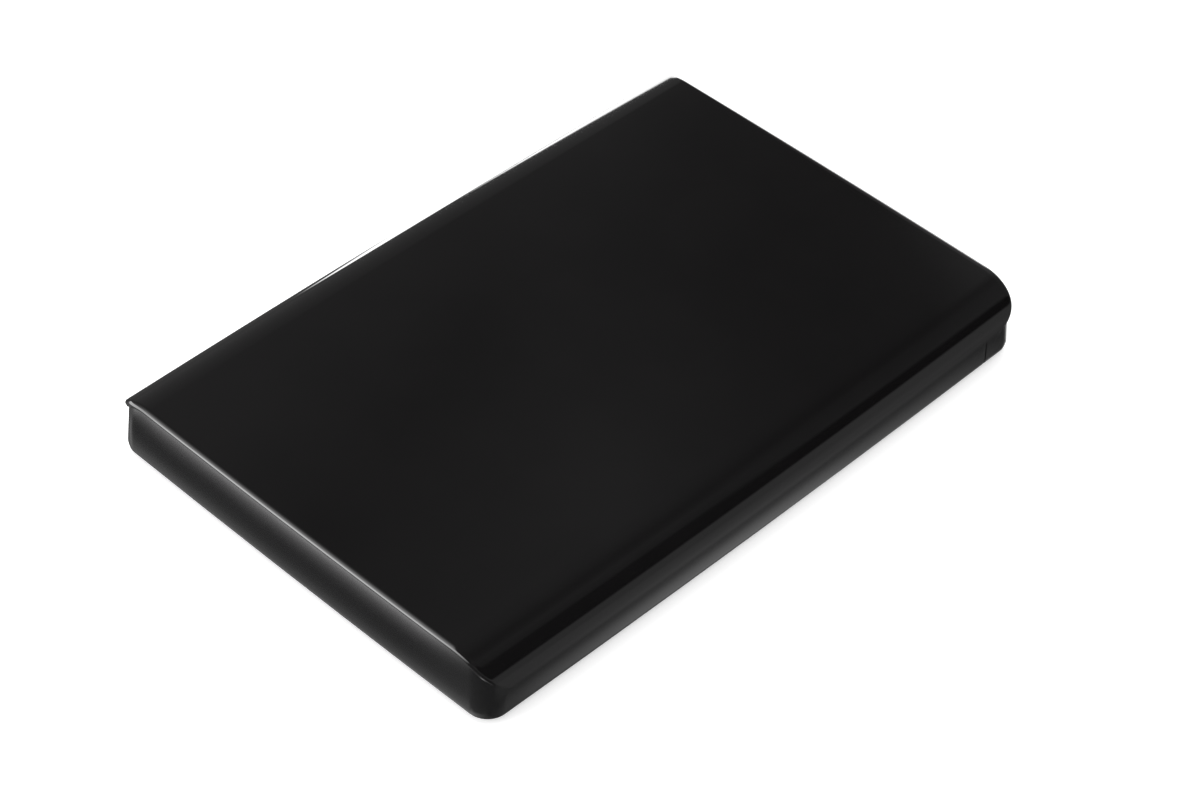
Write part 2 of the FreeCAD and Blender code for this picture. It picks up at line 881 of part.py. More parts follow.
shell = lower_shell()
save("top_cover", top_cover())
save("base_tray", base_tray(shell))
save("rear_end_cap", rear_end_cap(shell))
save_numbered("foot", feet())
save("light_guide", light_guide())
save_numbered("bumper", bumpers())
save_numbered("foam_strip", foam_strips())
save("drive_bottom_shell", drive_bottom_shell())
save("drive_top_shell", drive_top_shell())
save("drive_board", drive_board())
save("controller_chip", controller_chip())
save("buffer_chip", buffer_chip())
save_numbered("flash_chip", flash_chips())
save("thermal_pad", thermal_pad())
save("drive_plug", drive_plug())
save("drive_plug_contacts", drive_plug_contacts())
save("drive_capacitors", drive_capacitors())
save("bridge_board", bridge_board())
save("bridge_socket", bridge_socket())
save("bridge_socket_contacts", bridge_socket_contacts())
save("bridge_chip", bridge_chip())
save("clock_crystal", clock_crystal())
save("power_inductor", power_inductor())
save("bridge_capacitors", bridge_capacitors())
save("usb_shell", usb_shell())
save("usb_tongues", usb_tongues())
save("usb_contacts", usb_contacts())
save("activity_led", activity_led())
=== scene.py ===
import json
import math

import bmesh
import bpy
from mathutils import Matrix, Vector


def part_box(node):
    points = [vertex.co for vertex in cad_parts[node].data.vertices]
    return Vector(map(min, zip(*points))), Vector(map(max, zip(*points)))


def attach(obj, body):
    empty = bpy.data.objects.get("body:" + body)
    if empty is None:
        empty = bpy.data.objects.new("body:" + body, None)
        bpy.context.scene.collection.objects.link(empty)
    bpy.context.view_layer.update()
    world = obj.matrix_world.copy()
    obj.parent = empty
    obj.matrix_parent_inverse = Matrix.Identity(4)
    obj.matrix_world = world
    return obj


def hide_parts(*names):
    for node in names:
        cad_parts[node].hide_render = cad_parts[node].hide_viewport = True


# A black pocket drive on a white table: a polished cover with rolled long edges over a satin tray.
# Lengths are metres, in the frame of the solids.

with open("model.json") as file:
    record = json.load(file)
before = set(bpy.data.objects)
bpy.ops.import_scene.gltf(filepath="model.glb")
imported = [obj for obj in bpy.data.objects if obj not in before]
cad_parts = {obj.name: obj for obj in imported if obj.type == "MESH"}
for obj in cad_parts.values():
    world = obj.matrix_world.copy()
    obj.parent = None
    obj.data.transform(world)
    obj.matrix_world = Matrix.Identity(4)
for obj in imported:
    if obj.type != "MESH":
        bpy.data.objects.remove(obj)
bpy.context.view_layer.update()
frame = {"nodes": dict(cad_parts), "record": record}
nodes = frame["nodes"]
MM = 0.001

# Cover
cover_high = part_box("top_cover")[1]
cover_half_length = 59.45 * MM
cover_half_width = cover_high.y
cover_top = cover_high.z
cover_wall = 1.1 * MM
nose_depth = 8.1 * MM
nose_height = 6.35 * MM
hem_tuck = 0.5 * MM
hem_height = 0.7 * MM
hem_level = cover_top - nose_height - hem_height
hem_sweep = 10.6 * MM
side_bow = 0.5 * MM
end_bow = 0.3 * MM

# Sheet that the cover is rolled from: its points each way, and the shares at which roll and hem start
sheet_points_along = 89
sheet_points_across = 101
roll_start = 0.3
hem_start = 0.9

# Rim of the cover: edges that turn by more than this, rounded in full at the end lips on the outside,
# and by these shares along the hems and on the inside
rim_turn = math.radians(50)
lip_round = 0.7 * MM
lip_segments = 6
hem_share = 0.08
inner_share = 0.28

# Joint between tray and end cap, with its outer edges eased
joint_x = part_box("base_tray")[1].x
joint_gap = 0.12 * MM
joint_ease = 0.14 * MM
joint_segments = 2

# Snap tabs inside the cover, at its -Y side; the outline is Y and height over the hem, in millimetres
tab_count = 3
tab_width = 8.0 * MM
tab_pitch = 36.0 * MM
tab_outline = [
    (-39.94, 3.7),
    (-37.97, 3.7),
    (-37.97, -2.9),
    (-38.42, -2.9),
    (-39.32, -2.0),
    (-39.32, -1.55),
    (-38.87, -1.1),
    (-38.87, 1.9),
    (-39.94, 1.9),
]

# Edges that turn by less than this many degrees are shaded smooth
cover_smooth = 20
tray_smooth = 32

# Points of a solid's copy that lie closer than this are merged
merge_distance = 0.001 * MM

# Middle part of a noise value's range, over which gloss and shade change
gloss_noise = (0.3, 0.7)
shade_noise = (0.35, 0.65)

# Camera, from the outline of the case in the photograph
image_width = 1200
focal_pixels = 3362.7
camera_azimuth = math.radians(-47.47)
camera_elevation = math.radians(43.23)
camera_roll = math.radians(2.63)
camera_distance = 529.1 * MM
aim_right = 3.68 * MM
aim_down = 0.975 * MM
aim_height = 0.4 * MM

# Table and room light
table_reach = 4.0
table_lift = 0.48
room_light = 0.8

# Painted reflections on the table: grey levels that only reflections see there, by millimetres out from
# each side of the case; the bright levels are painted light and the dim ones painted shade
zone_reach = 60.0
left_levels = [
    (0, 0.4), (1, 0.8), (2, 0.4), (3, 0.15), (5, 0.05), (6, 0.08),
    (7, 0.22), (8, 0.5), (9, 2.2), (10, 6.0), (15, 7.5), (60, 5.5),
]
left_dim = [(0, 0.7), (1, 1.0), (2, 0.5), (3, 0.2), (8, 0.12), (60, 0.2)]
left_corner = [(0, 0.25), (5, 0.4), (7, 1.5), (9, 4.0), (60, 6.0)]
front_corner = 0.12
near_levels = [
    (0, 0.3), (0.5, 1.05), (0.9, 1.15), (1.2, 0.92), (2, 0.78),
    (3, 0.36), (3.5, 0.2), (6, 0.4), (8, 0.47), (60, 0.47),
]
near_dim = [(0, 0.1), (1, 0.14), (3.5, 0.1), (4.5, 0.14), (8, 0.25), (20, 0.38), (60, 0.38)]
far_levels = [(0, 1.0), (8, 1.5), (12, 2.1), (20, 3.3), (40, 5.5), (60, 6.0)]
far_dim = [(0, 0.2), (12, 0.17), (20, 0.1), (40, 0.16), (60, 0.16)]

# Share of the brighter near levels, by millimetres along the case
near_shares = [
    (-60, 0.0), (-52, 0.2), (-45, 0.47), (-30, 0.83), (-20, 0.96), (-10, 1.0),
    (0, 0.98), (15, 0.75), (23, 0.52), (45, 0.25), (60, 0.0),
]

# Where one zone of the table gives way to the next, in millimetres; the far one's edge runs at a slant
left_edge = (-1.0, 0.0)
left_fade = (-19.0, -31.0)
left_corner_turn = (45.0, 48.0)
front_corner_turn = (-37.0, -42.0)
near_edge = (-2.0, 0.0)
far_turn = (0.0, 12.0)
far_edge = (-40.0, -30.0)
far_slant = 0.9

# Painted reflections above the table: grey levels that only reflections see, by one part of the ray's
# direction
ceiling_left = [
    (-1.0, 0.03), (-0.56, 0.04), (-0.5, 0.14), (-0.33, 0.18), (-0.22, 0.12), (-0.1, 0.1), (0.05, 0.14),
    (0.2, 0.17), (0.48, 0.17), (0.53, 0.1), (0.56, 0.16), (0.6, 0.2), (0.8, 0.22),
]
ceiling_right = [
    (-1.0, 0.0), (-0.62, 0.01), (-0.55, 0.14), (-0.2, 0.1), (-0.1, 0.06), (0.0, 0.05), (0.2, 0.07),
    (0.48, 0.07), (0.51, 0.1), (0.54, 0.2), (0.57, 0.27), (0.8, 0.3),
]
left_wall = [(-0.9, 3.6), (-0.75, 2.4), (-0.6, 1.4), (-0.45, 0.7), (-0.15, 0.27), (0.15, 0.13)]
right_wall = [(-0.6, 0.01), (-0.53, 0.22), (0.0, 0.2), (0.2, 0.45), (0.8, 0.6)]
near_wall = 0.4
back_wall = 8.0

# Directions at which ceiling and walls give way to each other
ceiling_turn = (0.53, 0.58)
far_side = (0.3, 0.4)
left_wall_turn = (0.3, 0.15)
right_wall_turn = (0.62, 0.65)
near_wall_turn = (-0.05, -0.2)
near_wall_top = (0.27, 0.19)
back_wall_turn = (0.535, 0.545)
back_wall_top = (0.4, 0.35)
back_wall_slope = 0.2


def new_material(name):
    """An empty node material, and its tree."""
    material = bpy.data.materials.new(name)
    material.use_nodes = True
    tree = material.node_tree
    tree.nodes.clear()
    return material, tree


def add_node(tree, kind, **settings):
    node = tree.nodes.new(kind)
    for name, value in settings.items():
        setattr(node, name, value)
    return node


def set_inputs(node, **values):
    """Constants on a node's sockets; an underscore stands for a space in the name."""
    for name, value in values.items():
        node.inputs[name.replace("_", " ")].default_value = value


def surface(tree):
    """A principled shader joined to the output."""
    shader = add_node(tree, "ShaderNodeBsdfPrincipled")
    output = add_node(tree, "ShaderNodeOutputMaterial")
    tree.links.new(shader.outputs["BSDF"], output.inputs["Surface"])
    return shader


def grain(tree, scale, detail=3.0):
    """Fine noise in object space."""
    place = add_node(tree, "ShaderNodeTexCoord")
    noise = add_node(tree, "ShaderNodeTexNoise")
    set_inputs(noise, Scale=scale, Detail=detail, Roughness=0.55)
    tree.links.new(place.outputs["Object"], noise.inputs["Vector"])
    return noise.outputs["Fac"]


def spread(tree, value, low, high):
    """A noise value mapped to a range."""
    ramp = add_node(tree, "ShaderNodeMapRange")
    set_inputs(ramp, From_Min=gloss_noise[0], From_Max=gloss_noise[1], To_Min=low, To_Max=high)
    tree.links.new(value, ramp.inputs["Value"])
    return ramp.outputs["Result"]


def shades(tree, value, dark, light):
    """A noise value turned into a colour between two shades."""
    ramp = add_node(tree, "ShaderNodeValToRGB")
    for point, position, shade in zip(ramp.color_ramp.elements, shade_noise, (dark, light)):
        point.position = position
        point.color = (*shade, 1)
    tree.links.new(value, ramp.inputs["Fac"])
    return ramp.outputs["Color"]


def relief(tree, shader, value, height):
    """Bump from a noise value, with its height in metres."""
    bump = add_node(tree, "ShaderNodeBump")
    set_inputs(bump, Strength=1.0, Distance=height)
    tree.links.new(value, bump.inputs["Height"])
    tree.links.new(bump.outputs["Normal"], shader.inputs["Normal"])


def finish(name, dark, light, scale, rough, height, metallic=0.0):
    """A moulded, pressed or plated finish: two close shades, uneven gloss and a fine relief."""
    material, tree = new_material(name)
    shader = surface(tree)
    set_inputs(shader, Metallic=metallic)
    value = grain(tree, scale)
    tree.links.new(shades(tree, value, dark, light), shader.inputs["Base Color"])
    tree.links.new(spread(tree, value, *rough), shader.inputs["Roughness"])
    relief(tree, shader, value, height)
    return material


def polished_black():
    """Cover: deep black polish, with faint unevenness in its gloss and almost no relief."""
    material, tree = new_material("polished_black")
    shader = surface(tree)
    broad = grain(tree, 60, 2.0)
    fine = grain(tree, 2600, 2.0)
    colour = shades(tree, broad, (0.0042, 0.0039, 0.0041), (0.0050, 0.0046, 0.0048))
    tree.links.new(colour, shader.inputs["Base Color"])
    tree.links.new(spread(tree, fine, 0.04, 0.07), shader.inputs["Roughness"])
    relief(tree, shader, fine, 0.4e-6)
    return material


def satin_black():
    """Tray and end cap: a fine, even satin."""
    dark = (0.0065, 0.0065, 0.0067)
    light = (0.0085, 0.0084, 0.0086)
    return finish("satin_black", dark, light, 4200, (0.17, 0.19), 0.03e-6)


def clear_plastic():
    """Light guide: clear, slightly frosted."""
    material, tree = new_material("clear_plastic")
    shader = surface(tree)
    set_inputs(shader, Transmission_Weight=0.85, IOR=1.49)
    value = grain(tree, 1500)
    colour = shades(tree, value, (0.80, 0.84, 0.86), (0.90, 0.93, 0.95))
    tree.links.new(colour, shader.inputs["Base Color"])
    tree.links.new(spread(tree, value, 0.15, 0.3), shader.inputs["Roughness"])
    relief(tree, shader, value, 4e-6)
    return material


class Field:
    """A number that a node tree works out at every point, with plain arithmetic."""

    def __init__(self, tree, socket):
        self.tree = tree
        self.socket = socket

    def math(self, operation, *others, clamp=False):
        node = add_node(self.tree, "ShaderNodeMath", operation=operation, use_clamp=clamp)
        for i, other in enumerate((self, *others)):
            if isinstance(other, Field):
                self.tree.links.new(other.socket, node.inputs[i])
            else:
                node.inputs[i].default_value = other
        return Field(self.tree, node.outputs[0])

    def __add__(self, other):
        return self.math("ADD", other)

    def __sub__(self, other):
        return self.math("SUBTRACT", other)

    def __mul__(self, other):
        return self.math("MULTIPLY", other)

    def __truediv__(self, other):
        return self.math("DIVIDE", other)

    def share(self, start, end):
        """How far this lies from start to end, kept between 0 and 1."""
        return (self - start).math("DIVIDE", end - start, clamp=True)


def axes(tree, vector):
    """The X, Y and Z of a vector socket, as fields."""
    split = add_node(tree, "ShaderNodeSeparateXYZ")
    tree.links.new(vector, split.inputs[0])
    return [Field(tree, split.outputs[axis]) for axis in "XYZ"]


def geometry_tree(name, sizes):
    """A geometry tree with one named length input per size, and those inputs as fields."""
    tree = bpy.data.node_groups.new(name, "GeometryNodeTree")
    for size in sizes:
        tree.interface.new_socket(size, in_out="INPUT", socket_type="NodeSocketFloat")
    tree.interface.new_socket("Geometry", in_out="OUTPUT", socket_type="NodeSocketGeometry")
    source = add_node(tree, "NodeGroupInput")
    fields = [Field(tree, source.outputs[size]) for size in sizes]
    return tree, fields


def finish_tree(tree, geometry, material):
    """Smooth faces, plain mesh and material at the end of a geometry tree."""
    smooth = add_node(tree, "GeometryNodeSetShadeSmooth")
    real = add_node(tree, "GeometryNodeRealizeInstances")
    paint = add_node(tree, "GeometryNodeSetMaterial")
    paint.inputs["Material"].default_value = material
    output = add_node(tree, "NodeGroupOutput")
    for a, b in ((geometry, smooth), (smooth.outputs[0], real), (real.outputs[0], paint)):
        tree.links.new(a, b.inputs["Geometry"])
    tree.links.new(paint.outputs["Geometry"], output.inputs["Geometry"])


def rolled_skin_tree(sizes, material):
    """The cover's outer skin: a sheet rolled down at its long sides and trimmed to a swept hem."""
    tree, fields = geometry_tree("rolled_skin", sizes)
    half_length, half_width, top, depth, height, tuck, drop, wall, sweep, bow_side, bow_end = fields
    sheet = add_node(tree, "GeometryNodeMeshGrid")
    set_inputs(sheet, Size_X=2.0, Size_Y=2.0)
    set_inputs(sheet, Vertices_X=sheet_points_along, Vertices_Y=sheet_points_across)
    place = add_node(tree, "GeometryNodeInputPosition")
    along, around, _ = axes(tree, place.outputs[0])
    side = around.math("SIGN")
    away = around.math("ABSOLUTE")

    # Section across the cover: flat top, roll of a quarter ellipse, tucked hem
    flat = away.share(0.0, roll_start)
    turn = away.share(roll_start, hem_start) * (math.pi / 2)
    hem = away.share(hem_start, 1.0)
    across = (half_width - depth) * flat + depth * turn.math("SINE") - tuck * hem
    level = top - height * (turn.math("COSINE") * -1 + 1) - drop * hem

    # Ends: bowed, and swept back from the top down to the hem
    rise = height + drop + wall
    fall = ((level - top + height + drop).math("MAXIMUM", 0.0) / rise).math("SQRT") * -1 + 1
    bulge = (across / half_width).math("POWER", 2.0) * bow_end
    end = half_length - bulge - sweep * fall * fall
    lengthwise = along * end

    # Long sides: bowed, so that they come in towards the ends
    pinch = (lengthwise / half_length).math("POWER", 2.0) * bow_side * (across / half_width)
    point = add_node(tree, "ShaderNodeCombineXYZ")
    for axis, value in (("X", lengthwise), ("Y", side * (across - pinch)), ("Z", level)):
        tree.links.new(value.socket, point.inputs[axis])
    move = add_node(tree, "GeometryNodeSetPosition")
    tree.links.new(sheet.outputs["Mesh"], move.inputs["Geometry"])
    tree.links.new(point.outputs[0], move.inputs["Position"])
    finish_tree(tree, move.outputs["Geometry"], material)
    return tree


def tab_rows_tree(material, tab):
    """A row of tabs along one side, and the same row turned to the other side."""
    tree, (pitch,) = geometry_tree("tab_rows", ["Pitch"])
    line = add_node(tree, "GeometryNodeMeshLine", mode="OFFSET")
    set_inputs(line, Count=tab_count)
    for name, value in (("Offset", pitch), ("Start Location", pitch * ((1 - tab_count) / 2))):
        vector = add_node(tree, "ShaderNodeCombineXYZ")
        tree.links.new(value.socket, vector.inputs["X"])
        tree.links.new(vector.outputs[0], line.inputs[name])
    shape = add_node(tree, "GeometryNodeObjectInfo")
    shape.inputs["Object"].default_value = tab
    row = add_node(tree, "GeometryNodeInstanceOnPoints")
    tree.links.new(line.outputs["Mesh"], row.inputs["Points"])
    tree.links.new(shape.outputs["Geometry"], row.inputs["Instance"])
    turned = add_node(tree, "GeometryNodeTransform")
    set_inputs(turned, Rotation=(0.0, 0.0, math.pi))
    both = add_node(tree, "GeometryNodeJoinGeometry")
    tree.links.new(row.outputs["Instances"], turned.inputs["Geometry"])
    tree.links.new(row.outputs["Instances"], both.inputs["Geometry"])
    tree.links.new(turned.outputs["Geometry"], both.inputs["Geometry"])
    finish_tree(tree, both.outputs["Geometry"], material)
    return tree


def place_mesh(name, mesh):
    piece = bpy.data.objects.new(name, mesh)
    bpy.context.scene.collection.objects.link(piece)
    return piece


def settle(piece):
    """The piece's modifiers turned into its plain mesh."""
    bpy.context.view_layer.update()
    graph = bpy.context.evaluated_depsgraph_get()
    solved = piece.evaluated_get(graph)
    mesh = bpy.data.meshes.new_from_object(solved, preserve_all_data_layers=True, depsgraph=graph)
    piece.modifiers.clear()
    piece.data = mesh
    return piece


def run_tree(name, tree, sizes):
    """An object made by a geometry tree, with its inputs set by identifier."""
    piece = place_mesh(name, bpy.data.meshes.new(name))
    modifier = piece.modifiers.new(name, "NODES")
    modifier.node_group = tree
    for item in tree.interface.items_tree:
        if item.in_out == "INPUT":
            modifier[item.identifier] = sizes[item.name]
    return piece


def rolled_cover(material):
    """Cover with its wall and its rounded rim."""
    sizes = {
        "Half Length": cover_half_length,
        "Half Width": cover_half_width,
        "Top": cover_top,
        "Nose Depth": nose_depth,
        "Nose Height": nose_height,
        "Hem Tuck": hem_tuck,
        "Hem Height": hem_height,
        "Wall": cover_wall,
        "Hem Sweep": hem_sweep,
        "Side Bow": side_bow,
        "End Bow": end_bow,
    }
    cover = run_tree("rolled_cover", rolled_skin_tree(list(sizes), material), sizes)
    wall = cover.modifiers.new("wall", "SOLIDIFY")
    wall.thickness = cover_wall
    wall.offset = -1.0
    wall.use_even_offset = True
    settle(cover)
    weigh_rim(cover.data)
    rim = cover.modifiers.new("rim", "BEVEL")
    rim.width = lip_round
    rim.segments = lip_segments
    rim.limit_method = "WEIGHT"
    rim.use_clamp_overlap = False
    return settle(cover)


def weigh_rim(mesh):
    """Bevel weights round the rim: full at the end lips, less along the hems and inside."""
    shape = bmesh.new()
    shape.from_mesh(mesh)
    weight = shape.edges.layers.float.new("bevel_weight_edge")
    for edge in shape.edges:
        if edge.calc_face_angle(0.0) < rim_turn:
            continue
        rates = []
        for face in edge.link_faces:
            middle = face.calc_center_median()
            outward = Vector((0, middle.y, middle.z - hem_level)).normalized()
            rates.append((face.normal.dot(outward), face))
        skin = max(rates, key=lambda rate: abs(rate[0]))
        rim = min(rates, key=lambda rate: abs(rate[0]))[1]
        share = hem_share + (1 - hem_share) * rim.normal.x ** 2
        edge[weight] = share if skin[0] > 0 else share * inner_share
    shape.to_mesh(mesh)
    shape.free()


def tab_shape():
    """One snap tab: its outline across the wall, pushed along the side."""
    mesh = bpy.data.meshes.new("tab_shape")
    shape = bmesh.new()
    ends = []
    for x in (-tab_width / 2, tab_width / 2):
        ends.append([shape.verts.new((x, y * MM, hem_level + z * MM)) for y, z in tab_outline])
    shape.faces.new(ends[0])
    shape.faces.new(reversed(ends[1]))
    count = len(tab_outline)
    for i in range(count):
        j = (i + 1) % count
        shape.faces.new((ends[0][i], ends[1][i], ends[1][j], ends[0][j]))
    bmesh.ops.recalc_face_normals(shape, faces=shape.faces)
    shape.to_mesh(mesh)
    shape.free()
    return place_mesh("tab_shape", mesh)


def snap_tabs(material):
    """The cover's tabs on both long sides."""
    tab = tab_shape()
    tabs = settle(run_tree("snap_tabs", tab_rows_tree(material, tab), {"Pitch": tab_pitch}))
    bpy.data.objects.remove(tab)
    return tabs


def joined(name, pieces, material):
    """One piece from several, in one material."""
    shape = bmesh.new()
    for piece in pieces:
        shape.from_mesh(piece.data)
        bpy.data.objects.remove(piece)
    for face in shape.faces:
        face.material_index = 0
    mesh = bpy.data.meshes.new(name)
    shape.to_mesh(mesh)
    shape.free()
    mesh.materials.append(material)
    even_normals(mesh, cover_smooth)
    return place_mesh(name, mesh)


def even_normals(mesh, degrees):
    """Shading normals weighted by face size, so that flats stay flat beside rounded edges."""
    closest = math.cos(math.radians(degrees))
    around = [[] for _ in mesh.vertices]
    for face in mesh.polygons:
        weighted = (face.normal.copy(), face.normal * face.area)
        for vertex in face.vertices:
            around[vertex].append(weighted)
    normals = []
    for face in mesh.polygons:
        normal = face.normal.copy()
        for vertex in face.vertices:
            total = Vector()
            for other, weighted in around[vertex]:
                if normal.dot(other) > closest:
                    total += weighted
            normals.append(total.normalized())
    mesh.normals_split_custom_set(normals)


def ease_joint(shape):
    """The outer edges of the joint between tray and end cap, eased so that it shows as a fine line."""
    edges = []
    for edge in shape.edges:
        middle = (edge.verts[0].co + edge.verts[1].co) / 2
        if len(edge.link_faces) != 2 or abs(middle.x - joint_gap / 2 - joint_x) > joint_gap:
            continue
        skin, wall = sorted(edge.link_faces, key=lambda face: abs(face.normal.x))
        outward = Vector((0, middle.y, middle.z - hem_level))
        faces_joint = abs(wall.normal.x) > 0.9
        faces_out = abs(skin.normal.x) < 0.3 and skin.normal.dot(outward) > 0
        if faces_joint and faces_out:
            edges.append(edge)
    bmesh.ops.bevel(
        shape, geom=edges, offset=joint_ease, segments=joint_segments, profile=0.5, affect="EDGES"
    )


def smooth_copy(node_name, name, material):
    """A solid's own form with its rounded edges shaded smooth."""
    shape = bmesh.new()
    shape.from_mesh(nodes[node_name].data)
    bmesh.ops.remove_doubles(shape, verts=shape.verts, dist=merge_distance)
    ease_joint(shape)
    for face in shape.faces:
        face.smooth = True
        face.material_index = 0
    mesh = bpy.data.meshes.new(name)
    shape.to_mesh(mesh)
    shape.free()
    mesh.materials.append(material)
    even_normals(mesh, tray_smooth)
    piece = place_mesh(name, mesh)
    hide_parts(node_name)
    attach(piece, "root")
    return piece


def dress(node_names, material):
    """A finish on solids that keep their own mesh."""
    for name in node_names:
        mesh = nodes[name].data
        mesh.materials.clear()
        mesh.materials.append(material)


def in_slot(slot):
    return [part["node"] for part in frame["record"]["subparts"] if part["material_slot"] == slot]


def level_ramp(tree, value, stops):
    """Grey levels along a value from 0 to 1."""
    ramp = add_node(tree, "ShaderNodeValToRGB")
    points = ramp.color_ramp.elements
    points.remove(points[1])
    for i, (position, level) in enumerate(stops):
        point = points[0] if i == 0 else points.new(position)
        point.position = position
        point.color = (level, level, level, 1)
    tree.links.new(value.socket, ramp.inputs["Fac"])
    return ramp.outputs["Color"]


def blend(tree, share, under, over):
    """Under, giving way to over: sockets or grey levels, by a share that is a field or a socket."""
    node = add_node(tree, "ShaderNodeMix", data_type="RGBA")
    tree.links.new(getattr(share, "socket", share), node.inputs["Factor"])
    for socket, colour in ((node.inputs["A"], under), (node.inputs["B"], over)):
        if isinstance(colour, float):
            socket.default_value = (colour, colour, colour, 1)
        else:
            tree.links.new(colour, socket)
    return node.outputs["Result"]


def swap_shader(tree, switch, usual, other):
    """One shader, giving way to another where a switch is on."""
    mix = add_node(tree, "ShaderNodeMixShader")
    tree.links.new(switch, mix.inputs["Fac"])
    tree.links.new(usual.outputs[0], mix.inputs[1])
    tree.links.new(other.outputs[0], mix.inputs[2])
    return mix


def zone(tree, away, levels):
    """Grey levels by millimetres out from the case."""
    stops = [(mm / zone_reach, level) for mm, level in levels]
    return level_ramp(tree, away.share(0.0, zone_reach), stops)


def painted_table_reflections(tree, x, y):
    """Painted reflections on the table: painted light past the left end and behind the right half, else
    dim, as painted shade.
    """
    out_left = (x + cover_half_length / MM) * -1
    out_near = (y + cover_half_width / MM) * -1
    out_far = y - cover_half_width / MM
    behind = x.share(*far_turn) * (x - out_far * far_slant).share(*far_edge)
    far = blend(tree, behind, zone(tree, out_far, far_dim), zone(tree, out_far, far_levels))
    stops = [((mm / zone_reach + 1) / 2, share) for mm, share in near_shares]
    beside = level_ramp(tree, x.share(-zone_reach, zone_reach), stops)
    near = blend(tree, beside, zone(tree, out_near, near_dim), zone(tree, out_near, near_levels))
    lit, dim, corner = (zone(tree, out_left, levels) for levels in (left_levels, left_dim, left_corner))
    left = blend(tree, y.share(*left_fade), lit, dim)
    left = blend(tree, y.share(*left_corner_turn), left, corner)
    left = blend(tree, y.share(*front_corner_turn), left, front_corner)
    right = blend(tree, out_near.share(*near_edge), far, near)
    return blend(tree, out_left.share(*left_edge), right, left)


def white_table():
    """White paper with the case's shadow, painted light and shade of its own that only reflections see,
    and clear from below.
    """
    material, tree = new_material("white_table")
    lit = add_node(tree, "ShaderNodeBsdfPrincipled")
    set_inputs(lit, Roughness=0.9, Specular_IOR_Level=0.1, Emission_Color=(1, 1, 1, 1))
    paper = shades(tree, grain(tree, 8), (0.93, 0.93, 0.93), (0.95, 0.95, 0.95))
    tree.links.new(paper, lit.inputs["Base Color"])
    ray = add_node(tree, "ShaderNodeLightPath")
    lift = Field(tree, ray.outputs["Is Camera Ray"]) * table_lift
    tree.links.new(lift.socket, lit.inputs["Emission Strength"])
    place = add_node(tree, "ShaderNodeTexCoord")
    x, y, _ = axes(tree, place.outputs["Object"])
    # Glow that only reflections see: the table's painted reflections
    mirrored = add_node(tree, "ShaderNodeEmission")
    tree.links.new(painted_table_reflections(tree, x / MM, y / MM), mirrored.inputs["Color"])
    above = swap_shader(tree, ray.outputs["Is Glossy Ray"], lit, mirrored)
    side = add_node(tree, "ShaderNodeNewGeometry")
    clear = add_node(tree, "ShaderNodeBsdfTransparent")
    both = swap_shader(tree, side.outputs["Backfacing"], above, clear)
    output = add_node(tree, "ShaderNodeOutputMaterial")
    tree.links.new(both.outputs[0], output.inputs["Surface"])
    return material


def table_top():
    """The table: one wide, level face."""
    mesh = bpy.data.meshes.new("table_top")
    corners = [(sx * table_reach, sy * table_reach, 0) for sx, sy in ((-1, -1), (1, -1), (1, 1), (-1, 1))]
    mesh.from_pydata(corners, [], [(0, 1, 2, 3)])
    mesh.materials.append(white_table())
    table = place_mesh("table_top", mesh)


def by_direction(tree, part, levels):
    """Grey levels by one part of a ray's direction, from -1 to 1."""
    stops = [((side + 1) / 2, level) for side, level in levels]
    return level_ramp(tree, part.share(-1.0, 1.0), stops)


def painted_wall_reflections(tree, x, y, z):
    """Painted reflections above the table: a dim ceiling, grey walls, bright left and back walls,
    lighting nothing else.
    """
    ceiling = [by_direction(tree, y, levels) for levels in (ceiling_left, ceiling_right)]
    seen = blend(tree, x.share(*ceiling_turn), *ceiling)
    seen = blend(tree, x.share(*right_wall_turn), seen, by_direction(tree, y, right_wall))
    seen = blend(tree, y.share(*near_wall_turn) * z.share(*near_wall_top), seen, near_wall)
    far = y.share(*far_side)
    back = (x - z * back_wall_slope).share(*back_wall_turn) * z.share(*back_wall_top)
    seen = blend(tree, back * far, seen, back_wall)
    return blend(tree, x.share(*left_wall_turn) * far, seen, by_direction(tree, x, left_wall))


def studio_surroundings():
    """White for the camera, an even room for the table, and painted walls that only reflections see."""
    world = bpy.data.worlds.new("studio")
    bpy.context.scene.world = world
    world.use_nodes = True
    tree = world.node_tree
    tree.nodes.clear()
    place = add_node(tree, "ShaderNodeTexCoord")
    walls = painted_wall_reflections(tree, *axes(tree, place.outputs["Generated"]))
    ray = add_node(tree, "ShaderNodeLightPath")
    # Glossy rays see the painted walls, other rays the even room
    mirrored = blend(tree, ray.outputs["Is Glossy Ray"], room_light, walls)
    seen = blend(tree, ray.outputs["Is Camera Ray"], mirrored, 1.0)
    background = add_node(tree, "ShaderNodeBackground")
    output = add_node(tree, "ShaderNodeOutputWorld")
    tree.links.new(seen, background.inputs["Color"])
    tree.links.new(background.outputs[0], output.inputs["Surface"])


def soft_light(name, place, size, power):
    """A softbox aimed at the middle of the case; reflections see the walls instead of it."""
    data = bpy.data.lights.new(name, "AREA")
    data.shape = "RECTANGLE"
    data.size, data.size_y = size
    data.energy = power
    light = bpy.data.objects.new(name, data)
    light.location = place
    light.rotation_euler = (-Vector(place)).to_track_quat("-Z", "Y").to_euler()
    light.visible_glossy = False
    bpy.context.scene.collection.objects.link(light)


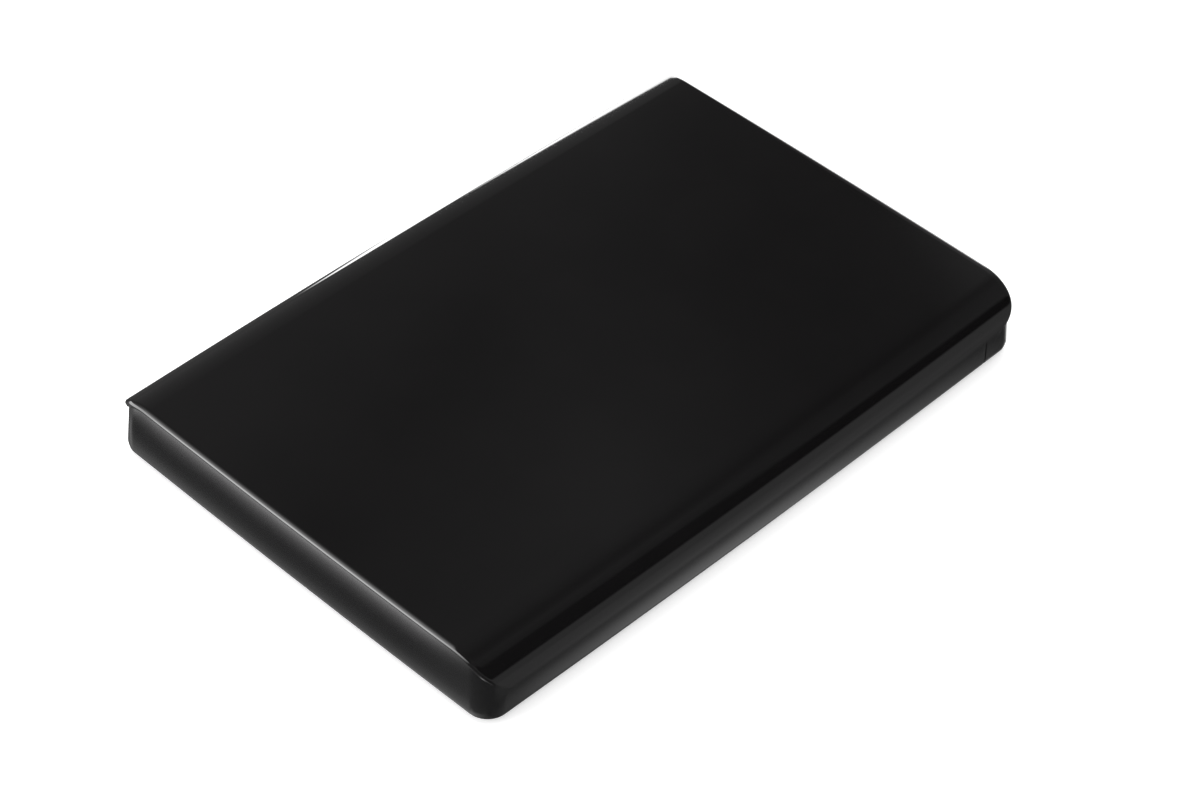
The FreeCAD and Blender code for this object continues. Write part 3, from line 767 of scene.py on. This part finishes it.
def photo_camera():
    """Camera at the photograph's angle, with its slight roll."""
    back = Vector((
        math.sin(camera_azimuth) * math.cos(camera_elevation),
        -math.cos(camera_azimuth) * math.cos(camera_elevation),
        math.sin(camera_elevation),
    ))
    level = Vector((0, 0, 1)).cross(back).normalized()
    lift = back.cross(level)
    right = level * math.cos(camera_roll) + lift * math.sin(camera_roll)
    up = back.cross(right)
    place = back * camera_distance + right * aim_right - up * aim_down + Vector((0, 0, aim_height))
    data = bpy.data.cameras.new("photo_camera")
    data.sensor_fit = "HORIZONTAL"
    data.sensor_width = 36.0
    data.lens = focal_pixels * data.sensor_width / image_width
    data.clip_start = 0.01
    camera = bpy.data.objects.new("photo_camera", data)
    turn = Matrix((right, up, back)).transposed()
    camera.matrix_world = Matrix.Translation(place) @ turn.to_4x4()
    bpy.context.scene.collection.objects.link(camera)
    bpy.context.scene.camera = camera


# Case
polish = polished_black()
cover = joined("polished_cover", [rolled_cover(polish), snap_tabs(polish)], polish)
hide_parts("top_cover")
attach(cover, "root")
satin = satin_black()
for node_name, piece_name in (("base_tray", "satin_tray"), ("rear_end_cap", "satin_end_cap")):
    smooth_copy(node_name, piece_name, satin)

# Other pieces, by slot: dark and light shade, grain, range of roughness, and relief in metres
plain_finishes = {
    "foot": ((0.012, 0.012, 0.012), (0.02, 0.02, 0.02), 2400, (0.65, 0.85), 8e-6),
    "bumper": ((0.02, 0.02, 0.02), (0.03, 0.03, 0.03), 1800, (0.6, 0.8), 8e-6),
    "foam": ((0.04, 0.04, 0.045), (0.07, 0.07, 0.075), 1600, (0.85, 1.0), 6e-5),
    "board": ((0.012, 0.12, 0.05), (0.02, 0.18, 0.075), 500, (0.3, 0.45), 6e-6),
    "chip": ((0.015, 0.015, 0.016), (0.024, 0.024, 0.026), 3000, (0.45, 0.6), 4e-6),
    "pad": ((0.3, 0.35, 0.43), (0.38, 0.43, 0.52), 900, (0.7, 0.85), 1e-5),
    "connector": ((0.012, 0.012, 0.013), (0.018, 0.018, 0.02), 2500, (0.4, 0.55), 4e-6),
    "capacitor": ((0.42, 0.30, 0.18), (0.58, 0.44, 0.28), 2500, (0.4, 0.6), 4e-6),
    "coil": ((0.07, 0.07, 0.075), (0.1, 0.1, 0.11), 2500, (0.5, 0.7), 8e-6),
    "light": ((0.78, 0.8, 0.82), (0.88, 0.9, 0.92), 2500, (0.2, 0.35), 2e-6),
}
metal_finishes = {
    "drive_case": ((0.50, 0.51, 0.53), (0.60, 0.61, 0.63), 700, (0.3, 0.45), 6e-6),
    "contact": ((0.75, 0.55, 0.2), (0.88, 0.68, 0.3), 1500, (0.2, 0.32), 2e-6),
    "can": ((0.52, 0.52, 0.53), (0.64, 0.64, 0.65), 1200, (0.25, 0.4), 3e-6),
}
dress(in_slot("guide"), clear_plastic())
for slot, values in plain_finishes.items():
    dress(in_slot(slot), finish(slot + "_finish", *values))
for slot, values in metal_finishes.items():
    dress(in_slot(slot), finish(slot + "_finish", *values, metallic=1.0))

# Studio
table_top()
studio_surroundings()
soft_light("overhead_box", place=(0.1, 0.2, 1.0), size=(0.8, 0.8), power=3.0)
soft_light("left_box", place=(-0.6, 0.34, 0.17), size=(0.5, 0.4), power=3.5)
photo_camera()
bpy.context.scene.view_settings.view_transform = "Standard"
